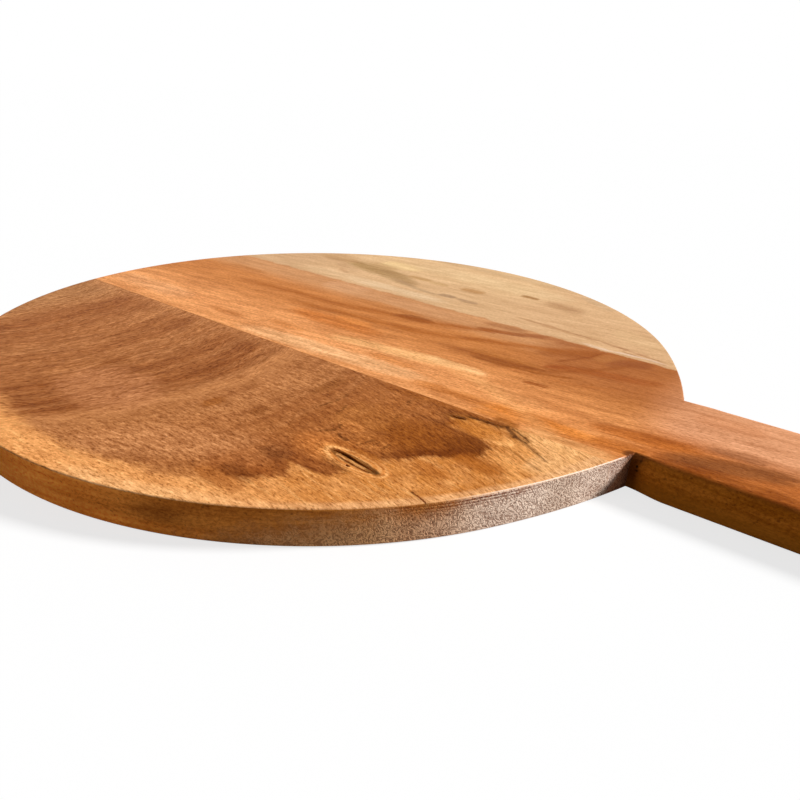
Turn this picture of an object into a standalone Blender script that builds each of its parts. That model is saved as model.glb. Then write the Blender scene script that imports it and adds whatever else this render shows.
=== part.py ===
"""Round wooden cutting board with a handle: three staves glued edge to edge, then sawn to one paddle outline.

Metres, +Z up. The origin is the disc's centre on the underside, and the handle points along +X.
Every piece is the same sawn blank, kept only between two planes across the panel, as on a glued-up board.
"""

import math

import bmesh
import bpy

# Panel
DISC_DIAMETER = 0.300
THICKNESS = 0.0125
HANDLE_LENGTH = 0.130  # from the disc's circle to the handle's tip

# Handle outline
HANDLE_OFFSET = 0.0010  # the handle's own centre line lies this far from the disc's, towards +Y
NECK_WIDTH = 0.0572  # where the handle leaves the disc
HANDLE_WIDTH = 0.0616  # where the hand holds it
NECK_SWELL = 0.014  # length over which the neck widens into the grip
SHOULDER_RADIUS = 0.250  # flatter arc that leads from the disc to the neck
SHOULDER_ANGLE = math.radians(31.2)  # from the handle's axis, where that arc leaves the disc

# Edge rounding
RIM_EASE_TOP = 0.0006  # sanded edges all round the disc
RIM_EASE_BOTTOM = 0.0005
GRIP_LEAN = 0.0042  # how far the grip's sides curve in towards the top face
GRIP_LEAN_HEIGHT = 0.0095  # over this height
GRIP_ROUND_BOTTOM = 0.0010
NECK_GRIP = 0.44  # share of the grip's shape that the side has already where it leaves the disc
GRIP_RAMP = 0.016  # length over which it grows to the whole

# Hanging hole
HOLE_DIAMETER = 0.012
HOLE_TO_TIP = 0.022  # hole's centre to the handle's tip
HOLE_CHAMFER = 0.001

# Glue joints: the middle stave holds the whole handle and stands past it by a shoulder on each side
NEAR_SHOULDER = 0.0072
FAR_SHOULDER = 0.0259
GLUE_FILM = 0.0002

# Open bark pocket of the large knot, set from the near rim
POCKET_RIM_INSET = 0.0245
POCKET_BEARING = math.radians(-45.2)
POCKET_LENGTH = 0.0210
POCKET_WIDTH = 0.0022
POCKET_DEPTH = 0.0018
POCKET_TURN = math.radians(-4.0)

# Short slit at the tip of the small knot, set from the near joint and the rim
SLIT_JOINT_INSET = 0.0066
SLIT_RIM_INSET = 0.049
SLIT_LENGTH = 0.0055
SLIT_WIDTH = 0.0012
SLIT_DEPTH = 0.0010
SLIT_TURN = math.radians(2.0)

# Facets
DISC_STEPS = 72
SHOULDER_STEPS = 14
SIDE_STEPS = 14
TIP_STEPS = 16
ROUNDING_STEPS = 4
HOLE_STEPS = 32
POCKET_SEGMENTS = 24
POCKET_RINGS = 10
CUTTER_MARGIN = 0.010

# Values that follow from the sizes above
DISC_RADIUS = DISC_DIAMETER / 2
TIP_X = DISC_RADIUS + HANDLE_LENGTH
NEAR_JOINT_Y = HANDLE_OFFSET - HANDLE_WIDTH / 2 - NEAR_SHOULDER
FAR_JOINT_Y = HANDLE_OFFSET + HANDLE_WIDTH / 2 + FAR_SHOULDER
HOLE_X = TIP_X - HOLE_TO_TIP

# Linear colour and roughness of each piece
NEAR_STAVE_FINISH = ((0.270, 0.092, 0.028), 0.48)
HANDLE_STAVE_FINISH = ((0.560, 0.215, 0.060), 0.45)
FAR_STAVE_FINISH = ((0.640, 0.390, 0.180), 0.48)
GLUE_FINISH = ((0.190, 0.075, 0.025), 0.55)


def smoothstep(value):
    """Eases from 0 to 1."""
    t = min(max(value, 0.0), 1.0)
    return t * t * (3 - 2 * t)


def polar(radius, angle):
    return (radius * math.cos(angle), radius * math.sin(angle))


def rim_inset(height):
    """How far the disc's eased rim stands in at a height."""
    below = max(RIM_EASE_BOTTOM - height, 0.0)
    above = max(height - THICKNESS + RIM_EASE_TOP, 0.0)
    bottom = RIM_EASE_BOTTOM - math.sqrt(max(RIM_EASE_BOTTOM ** 2 - below ** 2, 0.0))
    top = RIM_EASE_TOP - math.sqrt(max(RIM_EASE_TOP ** 2 - above ** 2, 0.0))
    return bottom + top


def section(grip):
    """The side's profile, upwards, as (inset, height) pairs: from the disc's rim (0) to the grip (1)."""
    bottom = RIM_EASE_BOTTOM + (GRIP_ROUND_BOTTOM - RIM_EASE_BOTTOM) * grip
    lean = RIM_EASE_TOP + (GRIP_LEAN - RIM_EASE_TOP) * grip
    rise = RIM_EASE_TOP + (GRIP_LEAN_HEIGHT - RIM_EASE_TOP) * grip
    turns = [math.pi / 2 * i / ROUNDING_STEPS for i in range(ROUNDING_STEPS + 1)]
    lower = [(bottom - bottom * math.sin(t), bottom - bottom * math.cos(t)) for t in turns]
    upper = [(lean - lean * math.cos(t), THICKNESS - rise + rise * math.sin(t)) for t in turns]
    return lower + upper


def column(centre, radius, angle, grip):
    """The side upwards at one place on an arc, moved in towards the arc's centre by its profile."""
    points = []
    for inset, height in section(grip):
        x, y = polar(radius - inset, angle)
        points.append((centre[0] + x, centre[1] + y, height))
    return points


def corner_column(corner, turn):
    """The inner corner upwards: where the shoulder's face runs into the neck's leaning side."""
    points = []
    for inset, height in section(NECK_GRIP):
        back = (inset * math.sin(turn) - rim_inset(height)) / math.cos(turn)
        points.append((corner[0] + back, corner[1] - inset, height))
    return points


def half_side(offset):
    """One half of the panel's side, in columns on the +Y side, from the handle's tip to the disc's far point."""
    tip_radius = HANDLE_WIDTH / 2
    tip_centre = (TIP_X - tip_radius, offset)
    columns = [column(tip_centre, tip_radius, math.pi / 2 * i / TIP_STEPS, 1.0) for i in range(TIP_STEPS + 1)]

    shoulder_centre = polar(DISC_RADIUS - SHOULDER_RADIUS, SHOULDER_ANGLE)
    neck_y = NECK_WIDTH / 2 + offset
    turn = math.asin((neck_y - shoulder_centre[1]) / SHOULDER_RADIUS)
    corner = (shoulder_centre[0] + SHOULDER_RADIUS * math.cos(turn), neck_y)
    for i in range(SIDE_STEPS, 0, -1):
        along = max(NECK_SWELL, GRIP_RAMP) * i / SIDE_STEPS
        width = NECK_WIDTH + (HANDLE_WIDTH - NECK_WIDTH) * smoothstep(along / NECK_SWELL)
        grip = NECK_GRIP + (1 - NECK_GRIP) * smoothstep(along / GRIP_RAMP)
        columns.append(column((corner[0] + along, offset), width / 2, math.pi / 2, grip))
    columns.append(corner_column(corner, turn))
    for i in range(1, SHOULDER_STEPS + 1):
        angle = turn + (SHOULDER_ANGLE - turn) * i / SHOULDER_STEPS
        columns.append(column(shoulder_centre, SHOULDER_RADIUS, angle, 0.0))
    for i in range(1, DISC_STEPS + 1):
        angle = SHOULDER_ANGLE + (math.pi - SHOULDER_ANGLE) * i / DISC_STEPS
        columns.append(column((0.0, 0.0), DISC_RADIUS, angle, 0.0))
    return columns


def whole_side():
    """The panel's side in columns, anticlockwise from the tip. The near half is drawn mirrored."""
    near = half_side(-HANDLE_OFFSET)
    mirrored = [[(x, -y, z) for x, y, z in points] for points in near[1:-1]]
    return half_side(HANDLE_OFFSET) + mirrored[::-1]


def blank_mesh():
    """The sawn panel, lofted round its side because the rounding of its edges varies along it."""
    bm = bmesh.new()
    rings = [[bm.verts.new(point) for point in ring] for ring in zip(*whole_side())]
    for lower, upper in zip(rings, rings[1:]):
        for i in range(len(lower)):
            bm.faces.new((lower[i - 1], lower[i], upper[i], upper[i - 1]))
    bm.faces.new(reversed(rings[0]))
    bm.faces.new(rings[-1])
    mesh = bpy.data.meshes.new("board_blank")
    bm.to_mesh(mesh)
    bm.free()
    mesh.shade_smooth()
    mesh.set_sharp_from_angle(angle=math.radians(35.0))
    return mesh


def make_material(name, finish):
    colour, roughness = finish
    material = bpy.data.materials.new(name)
    material.use_nodes = True
    shader = material.node_tree.nodes["Principled BSDF"]
    shader.inputs["Base Color"].default_value = (*colour, 1.0)
    shader.inputs["Roughness"].default_value = roughness
    shader.inputs["Metallic"].default_value = 0.0
    return material


def add_cutter(name, mesh, collection):
    cutter = bpy.data.objects.new(name, mesh)
    cutter.hide_render = True
    cutter.display_type = "WIRE"
    collection.objects.link(cutter)
    return cutter


def slab_cutter(name, low_y, high_y, collection):
    """A box over the whole panel between two planes, which neighbours share to the last digit."""
    low = (-DISC_RADIUS - CUTTER_MARGIN, low_y, -CUTTER_MARGIN)
    high = (TIP_X + CUTTER_MARGIN, high_y, THICKNESS + CUTTER_MARGIN)
    bm = bmesh.new()
    bmesh.ops.create_cube(bm, size=2.0)
    for vert in bm.verts:
        vert.co = [high[i] if vert.co[i] > 0 else low[i] for i in range(3)]
    mesh = bpy.data.meshes.new(name)
    bm.to_mesh(mesh)
    bm.free()
    return add_cutter(name, mesh, collection)


def hole_cutter(collection):
    """A turned spool: the hanging hole with a chamfer at both faces."""
    radius = HOLE_DIAMETER / 2
    mouth = radius + HOLE_CHAMFER + CUTTER_MARGIN
    profile = [
        (0.0, THICKNESS + CUTTER_MARGIN),
        (mouth, THICKNESS + CUTTER_MARGIN),
        (radius, THICKNESS - HOLE_CHAMFER),
        (radius, HOLE_CHAMFER),
        (mouth, -CUTTER_MARGIN),
        (0.0, -CUTTER_MARGIN),
    ]
    mesh = bpy.data.meshes.new("hole_cutter")
    edges = [(i, i + 1) for i in range(len(profile) - 1)]
    mesh.from_pydata([(r, 0.0, z) for r, z in profile], edges, [])
    cutter = add_cutter("hole_cutter", mesh, collection)
    cutter.location = (HOLE_X, HANDLE_OFFSET, 0.0)
    screw = cutter.modifiers.new("Turn", "SCREW")
    screw.steps = HOLE_STEPS
    screw.render_steps = HOLE_STEPS
    screw.use_merge_vertices = True
    screw.merge_threshold = 0.00001
    return cutter


def pocket_cutter(name, centre, length, width, depth, turn, collection):
    """A long thin ellipsoid sunk into the top face, lying along the grain."""
    bm = bmesh.new()
    bmesh.ops.create_uvsphere(bm, u_segments=POCKET_SEGMENTS, v_segments=POCKET_RINGS, radius=1.0)
    bmesh.ops.scale(bm, vec=(length / 2, width / 2, depth), verts=bm.verts)
    mesh = bpy.data.meshes.new(name)
    bm.to_mesh(mesh)
    bm.free()
    cutter = add_cutter(name, mesh, collection)
    cutter.location = (*centre, THICKNESS)
    cutter.rotation_euler.z = turn
    return cutter


def cut(piece, cutter, operation):
    boolean = piece.modifiers.new(cutter.name, "BOOLEAN")
    boolean.operation = operation
    boolean.solver = "EXACT"
    boolean.object = cutter


def add_stave(name, blank, finish, low_y, high_y, parent, parts, cutters):
    """One piece of the panel: the sawn blank, kept between two joint planes."""
    piece = bpy.data.objects.new(name, blank.copy())
    piece.data.materials.append(make_material(name, finish))
    piece.parent = parent
    parts.objects.link(piece)
    cut(piece, slab_cutter(f"{name}_slab", low_y, high_y, cutters), "INTERSECT")
    return piece


def pocket_centre():
    return polar(DISC_RADIUS - POCKET_RIM_INSET, POCKET_BEARING)


def slit_centre():
    y = NEAR_JOINT_Y - SLIT_JOINT_INSET
    return (math.sqrt(DISC_RADIUS ** 2 - y ** 2) - SLIT_RIM_INSET, y)


def build():
    for old in list(bpy.data.objects):
        bpy.data.objects.remove(old)
    parts = bpy.data.collections.new("Round cutting board")
    cutters = bpy.data.collections.new("Cutters")
    for collection in (parts, cutters):
        bpy.context.scene.collection.children.link(collection)
    board = bpy.data.objects.new("round_cutting_board", None)
    parts.objects.link(board)

    blank = blank_mesh()
    half_film = GLUE_FILM / 2
    side = DISC_RADIUS + CUTTER_MARGIN
    near = (NEAR_JOINT_Y - half_film, NEAR_JOINT_Y + half_film)
    far = (FAR_JOINT_Y - half_film, FAR_JOINT_Y + half_film)
    near_stave = add_stave("near_stave", blank, NEAR_STAVE_FINISH, -side, near[0], board, parts, cutters)
    add_stave("near_glue_line", blank, GLUE_FINISH, near[0], near[1], board, parts, cutters)
    handle_stave = add_stave("handle_stave", blank, HANDLE_STAVE_FINISH, near[1], far[0], board, parts, cutters)
    add_stave("far_glue_line", blank, GLUE_FINISH, far[0], far[1], board, parts, cutters)
    add_stave("far_stave", blank, FAR_STAVE_FINISH, far[1], side, board, parts, cutters)

    cut(handle_stave, hole_cutter(cutters), "DIFFERENCE")
    pocket = pocket_cutter(
        "knot_pocket", pocket_centre(), POCKET_LENGTH, POCKET_WIDTH, POCKET_DEPTH, POCKET_TURN, cutters
    )
    slit = pocket_cutter("knot_slit", slit_centre(), SLIT_LENGTH, SLIT_WIDTH, SLIT_DEPTH, SLIT_TURN, cutters)
    cut(near_stave, pocket, "DIFFERENCE")
    cut(near_stave, slit, "DIFFERENCE")


build()
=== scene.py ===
"""Round wooden cutting board with a handle: three staves of oiled, figured wood, in the photo's view.

Metres in the frame's own axes: the handle points along +X and the working face looks up +Z.
Wood patterns are written in millimetres, in the board's own x, y and z.
"""

import math

import bmesh
import bpy
from mathutils import Matrix, Vector


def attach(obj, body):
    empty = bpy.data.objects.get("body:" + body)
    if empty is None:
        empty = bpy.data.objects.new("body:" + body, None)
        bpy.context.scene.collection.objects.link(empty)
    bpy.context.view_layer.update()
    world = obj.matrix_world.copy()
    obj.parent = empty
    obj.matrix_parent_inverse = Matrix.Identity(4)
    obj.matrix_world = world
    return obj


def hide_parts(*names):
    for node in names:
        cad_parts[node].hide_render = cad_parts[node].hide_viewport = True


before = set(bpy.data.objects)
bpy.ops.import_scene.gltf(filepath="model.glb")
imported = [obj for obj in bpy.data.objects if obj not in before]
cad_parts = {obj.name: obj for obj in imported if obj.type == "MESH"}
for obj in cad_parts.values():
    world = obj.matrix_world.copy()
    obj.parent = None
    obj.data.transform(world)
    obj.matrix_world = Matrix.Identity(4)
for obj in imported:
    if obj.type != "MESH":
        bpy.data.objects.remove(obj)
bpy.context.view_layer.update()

MM = 0.001

# Panel and outline, in metres
DISC_RADIUS = 0.150
THICKNESS = 0.0125
TIP_X = 0.280
HANDLE_OFFSET = 0.0010
NECK_WIDTH = 0.0572
HANDLE_WIDTH = 0.0616
NECK_SWELL = 0.014
SHOULDER_RADIUS = 0.250
SHOULDER_ANGLE = math.radians(31.2)
RIM_EASE_TOP = 0.0006
RIM_EASE_BOTTOM = 0.0005
GRIP_LEAN = 0.0042
GRIP_LEAN_HEIGHT = 0.0095
GRIP_ROUND_BOTTOM = 0.0010
NECK_GRIP = 0.44
GRIP_RAMP = 0.016
HOLE_X = 0.258
HOLE_RADIUS = 0.006
HOLE_CHAMFER = 0.001
NEAR_JOINT_Y = -0.0370
FAR_JOINT_Y = 0.0577
GLUE_FILM = 0.0002

# Facets
DISC_STEPS = 250
SHOULDER_STEPS = 60
SIDE_STEPS = 30
TIP_STEPS = 48
ROUNDING_STEPS = 9
HOLE_STEPS = 72
FLAT_BORDER = 0.0004  # flat ring beside each rounded edge, which keeps the faces shaded flat
CUTTER_MARGIN = 0.010
CUT_TOLERANCE = 1e-7
SHARP_ANGLE = math.radians(35.0)

# Section of a crack: its wall at a share of its half-width and depth, and the cutter's reach above, in mm
CRACK_WALL = 0.55
CRACK_WALL_DEPTH = 0.75
CRACK_HEADROOM = 1.0


def smoothstep(value):
    t = min(max(value, 0.0), 1.0)
    return t * t * (3 - 2 * t)


def polar(radius, angle):
    return (radius * math.cos(angle), radius * math.sin(angle))


def rim_inset(height):
    """How far the disc's eased rim stands in at a height."""
    below = max(RIM_EASE_BOTTOM - height, 0.0)
    above = max(height - THICKNESS + RIM_EASE_TOP, 0.0)
    bottom = RIM_EASE_BOTTOM - math.sqrt(max(RIM_EASE_BOTTOM ** 2 - below ** 2, 0.0))
    top = RIM_EASE_TOP - math.sqrt(max(RIM_EASE_TOP ** 2 - above ** 2, 0.0))
    return bottom + top


def section(grip):
    """The side's profile, upwards, as (inset, height) pairs: from the disc's rim (0) to the grip (1)."""
    bottom = RIM_EASE_BOTTOM + (GRIP_ROUND_BOTTOM - RIM_EASE_BOTTOM) * grip
    lean = RIM_EASE_TOP + (GRIP_LEAN - RIM_EASE_TOP) * grip
    rise = RIM_EASE_TOP + (GRIP_LEAN_HEIGHT - RIM_EASE_TOP) * grip
    turns = [math.pi / 2 * i / ROUNDING_STEPS for i in range(ROUNDING_STEPS + 1)]
    lower = [(bottom - bottom * math.sin(t), bottom - bottom * math.cos(t)) for t in turns]
    upper = [(lean - lean * math.cos(t), THICKNESS - rise + rise * math.sin(t)) for t in turns]
    return [(bottom + FLAT_BORDER, 0.0)] + lower + upper + [(lean + FLAT_BORDER, THICKNESS)]


def column(centre, radius, angle, grip):
    """The side upwards at one place on an arc, moved in towards the arc's centre by its profile."""
    points = []
    for inset, height in section(grip):
        x, y = polar(radius - inset, angle)
        points.append((centre[0] + x, centre[1] + y, height))
    return points


def corner_column(corner, turn):
    """The inner corner upwards: where the shoulder's face runs into the neck's leaning side."""
    profile = section(NECK_GRIP)
    rim = [rim_inset(height) for inset, height in profile]
    rim[0] += FLAT_BORDER
    rim[-1] += FLAT_BORDER
    points = []
    for (inset, height), rim_stands_in in zip(profile, rim):
        back = (inset * math.sin(turn) - rim_stands_in) / math.cos(turn)
        points.append((corner[0] + back, corner[1] - inset, height))
    return points


def half_side(offset):
    """Half of the panel's side, in columns on the +Y side, from the handle's tip to the disc's far point."""
    tip_radius = HANDLE_WIDTH / 2
    tip_centre = (TIP_X - tip_radius, offset)
    columns = [column(tip_centre, tip_radius, math.pi / 2 * i / TIP_STEPS, 1.0) for i in range(TIP_STEPS + 1)]

    shoulder_centre = polar(DISC_RADIUS - SHOULDER_RADIUS, SHOULDER_ANGLE)
    neck_y = NECK_WIDTH / 2 + offset
    turn = math.asin((neck_y - shoulder_centre[1]) / SHOULDER_RADIUS)
    corner = (shoulder_centre[0] + SHOULDER_RADIUS * math.cos(turn), neck_y)
    for i in range(SIDE_STEPS, 0, -1):
        along = max(NECK_SWELL, GRIP_RAMP) * i / SIDE_STEPS
        width = NECK_WIDTH + (HANDLE_WIDTH - NECK_WIDTH) * smoothstep(along / NECK_SWELL)
        grip = NECK_GRIP + (1 - NECK_GRIP) * smoothstep(along / GRIP_RAMP)
        columns.append(column((corner[0] + along, offset), width / 2, math.pi / 2, grip))
    columns.append(corner_column(corner, turn))
    for i in range(1, SHOULDER_STEPS + 1):
        angle = turn + (SHOULDER_ANGLE - turn) * i / SHOULDER_STEPS
        columns.append(column(shoulder_centre, SHOULDER_RADIUS, angle, 0.0))
    for i in range(1, DISC_STEPS + 1):
        angle = SHOULDER_ANGLE + (math.pi - SHOULDER_ANGLE) * i / DISC_STEPS
        columns.append(column((0.0, 0.0), DISC_RADIUS, angle, 0.0))
    return columns


def whole_side():
    """The panel's side in columns, anticlockwise from the tip. The near half is drawn mirrored."""
    near = half_side(-HANDLE_OFFSET)
    mirrored = [[(x, -y, z) for x, y, z in points] for points in near[1:-1]]
    return half_side(HANDLE_OFFSET) + mirrored[::-1]


def blank():
    """The sawn panel as a mesh in progress."""
    bm = bmesh.new()
    rings = [[bm.verts.new(point) for point in ring] for ring in zip(*whole_side())]
    for lower, upper in zip(rings, rings[1:]):
        for i in range(len(lower)):
            bm.faces.new((lower[i - 1], lower[i], upper[i], upper[i - 1]))
    bm.faces.new(reversed(rings[0]))
    bm.faces.new(rings[-1])
    return bm


def add_to_scene(name, data):
    """A new object in the scene with that mesh, light or camera."""
    thing = bpy.data.objects.new(name, data)
    bpy.context.scene.collection.objects.link(thing)
    return thing


def solid(name, bm):
    """Closes off a mesh in progress as an object, with all its faces looking out."""
    bmesh.ops.recalc_face_normals(bm, faces=bm.faces[:])
    mesh = bpy.data.meshes.new(name)
    bm.to_mesh(mesh)
    bm.free()
    return add_to_scene(name, mesh)


def keep_side(bm, y, direction):
    """Cuts the panel at the plane y, keeps what lies in that direction (+1 or -1) and closes the cut."""
    geometry = bm.verts[:] + bm.edges[:] + bm.faces[:]
    plane = {"plane_co": (0, y, 0), "plane_no": (0, direction, 0)}
    bmesh.ops.bisect_plane(bm, geom=geometry, dist=CUT_TOLERANCE, clear_inner=True, **plane)
    bmesh.ops.holes_fill(bm, edges=bm.edges[:], sides=0)


def stave(name, low_y, high_y):
    """One piece of the panel, between two joint planes. None stands for the panel's own edge."""
    bm = blank()
    if low_y is not None:
        keep_side(bm, low_y, 1)
    if high_y is not None:
        keep_side(bm, high_y, -1)
    return solid(name, bm)


def crack_cutter(name, line):
    """A boat-shaped cutter along a line of (x, y, width, depth) in mm on the top face."""
    bm = bmesh.new()
    top = THICKNESS / MM
    rings = []
    for i, (x, y, width, depth) in enumerate(line):
        before, after = line[max(i - 1, 0)], line[min(i + 1, len(line) - 1)]
        run = Vector((after[0] - before[0], after[1] - before[1])).normalized()
        side = Vector((-run.y, run.x)) * width / 2
        corners = [
            (x + side.x, y + side.y, top),
            (x + side.x * CRACK_WALL, y + side.y * CRACK_WALL, top - depth * CRACK_WALL_DEPTH),
            (x, y, top - depth),
            (x - side.x * CRACK_WALL, y - side.y * CRACK_WALL, top - depth * CRACK_WALL_DEPTH),
            (x - side.x, y - side.y, top),
            (x - side.x, y - side.y, top + CRACK_HEADROOM),
            (x + side.x, y + side.y, top + CRACK_HEADROOM),
        ]
        rings.append([bm.verts.new(Vector(c) * MM) for c in corners])
    count = len(rings[0])
    for first, second in zip(rings, rings[1:]):
        for k in range(count):
            bm.faces.new((first[k], first[(k + 1) % count], second[(k + 1) % count], second[k]))
    bm.faces.new(reversed(rings[0]))
    bm.faces.new(rings[-1])
    return solid(name, bm)


def hole_cutter():
    """A turned spool: the hanging hole with a chamfer at both faces."""
    mouth = HOLE_RADIUS + HOLE_CHAMFER + CUTTER_MARGIN
    profile = [
        (mouth, THICKNESS + CUTTER_MARGIN),
        (HOLE_RADIUS, THICKNESS - HOLE_CHAMFER),
        (HOLE_RADIUS, HOLE_CHAMFER),
        (mouth, -CUTTER_MARGIN),
    ]
    bm = bmesh.new()
    rings = []
    for radius, z in profile:
        ring = [polar(radius, 2 * math.pi * k / HOLE_STEPS) for k in range(HOLE_STEPS)]
        rings.append([bm.verts.new((HOLE_X + x, HANDLE_OFFSET + y, z)) for x, y in ring])
    for upper, lower in zip(rings, rings[1:]):
        for k in range(HOLE_STEPS):
            bm.faces.new((upper[k - 1], lower[k - 1], lower[k], upper[k]))
    bm.faces.new(rings[0])
    bm.faces.new(reversed(rings[-1]))
    return solid("hole_cutter", bm)


def cut_and_shade(piece, cutters):
    """Cuts the piece with every cutter, keeps the result as its mesh and removes the cutters."""
    for cutter in cutters:
        boolean = piece.modifiers.new(cutter.name, "BOOLEAN")
        boolean.operation = "DIFFERENCE"
        boolean.solver = "EXACT"
        boolean.object = cutter
    evaluated = piece.evaluated_get(bpy.context.evaluated_depsgraph_get())
    mesh = bpy.data.meshes.new_from_object(evaluated)
    mesh.name = piece.name
    piece.modifiers.clear()
    piece.data = mesh
    for cutter in cutters:
        bpy.data.objects.remove(cutter)
    mesh.shade_smooth()
    mesh.set_sharp_from_angle(angle=SHARP_ANGLE)


# Cracks in the near stave, each a line of (x, y, width, depth) in mm
NEAR_CRACKS = {
    "knot_slot": (
        (77.4, -88.6, 0.1, 0.2), (79.5, -88.1, 0.7, 0.9), (81.5, -87.9, 1.1, 1.5),
        (84.0, -88.1, 1.45, 1.8), (87.0, -88.6, 1.25, 1.6), (90.0, -89.1, 0.8, 1.2),
        (93.5, -89.6, 0.5, 0.9), (97.0, -90.1, 0.1, 0.2),
    ),
    "knot_lower_crack": (
        (81.0, -89.6, 0.05, 0.1), (84.0, -90.2, 0.25, 0.5), (88.0, -90.9, 0.3, 0.6),
        (92.0, -91.3, 0.3, 0.6), (95.5, -91.3, 0.25, 0.5), (98.0, -91.0, 0.05, 0.1),
    ),
    "knot_dot": (
        (87.2, -92.2, 0.1, 0.2), (87.8, -92.4, 0.9, 0.9), (88.5, -92.5, 0.8, 0.9),
        (89.2, -92.4, 0.1, 0.2),
    ),
    "small_knot_slit": (
        (91.6, -43.4, 0.05, 0.1), (93.0, -43.9, 0.8, 0.9), (94.6, -43.9, 1.1, 1.2),
        (96.2, -43.6, 0.9, 0.9), (97.6, -43.3, 0.05, 0.1),
    ),
    "bark_crack": (
        (101.6, -40.5, 0.05, 0.1), (104.0, -40.0, 0.5, 0.5), (106.5, -39.8, 0.4, 0.5),
        (109.0, -39.3, 0.05, 0.1),
    ),
    "rim_crack": (
        (112.0, -91.3, 0.05, 0.1), (114.5, -92.1, 0.25, 0.3), (117.0, -92.9, 0.4, 0.5),
        (119.5, -93.3, 0.4, 0.5), (121.0, -93.6, 0.2, 0.3),
    ),
    "seam_speck": (
        (-13.6, -37.4, 0.1, 0.2), (-13.0, -37.6, 0.7, 0.7), (-12.4, -37.9, 0.1, 0.2),
    ),
}


SPECULAR_LEVEL = 0.02
SHEEN = 0.007  # light that the oiled surface mirrors at the photo's angle, on top of its own colour


def linear(red, green, blue):
    """A colour as seen on a screen, 0 to 255, as the shader's linear colour below the sheen."""
    values = []
    for level in (red, green, blue):
        s = level / 255
        seen = s / 12.92 if s <= 0.04045 else ((s + 0.055) / 1.055) ** 2.4
        values.append(max(seen - SHEEN, seen * 0.5))
    return (*values, 1.0)


class Value:
    """A number or a colour on a node graph, for plain formulas."""

    def __init__(self, graph, socket):
        self.graph = graph
        self.socket = socket

    def __add__(self, other):
        return self.graph.math("ADD", self, other)

    __radd__ = __add__

    def __sub__(self, other):
        return self.graph.math("SUBTRACT", self, other)

    def __rsub__(self, other):
        return self.graph.math("SUBTRACT", other, self)

    def __mul__(self, other):
        return self.graph.math("MULTIPLY", self, other)

    __rmul__ = __mul__

    def __truediv__(self, other):
        return self.graph.math("DIVIDE", self, other)

    def __abs__(self):
        return self.graph.math("ABSOLUTE", self)

    def rise(self, low, high):
        """0 below low, 1 above high, eased between."""
        return self.graph.rise(self, low, high)

    def fall(self, low, high):
        """1 below low, 0 above high, eased between."""
        return self.graph.rise(self, high, low)


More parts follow.
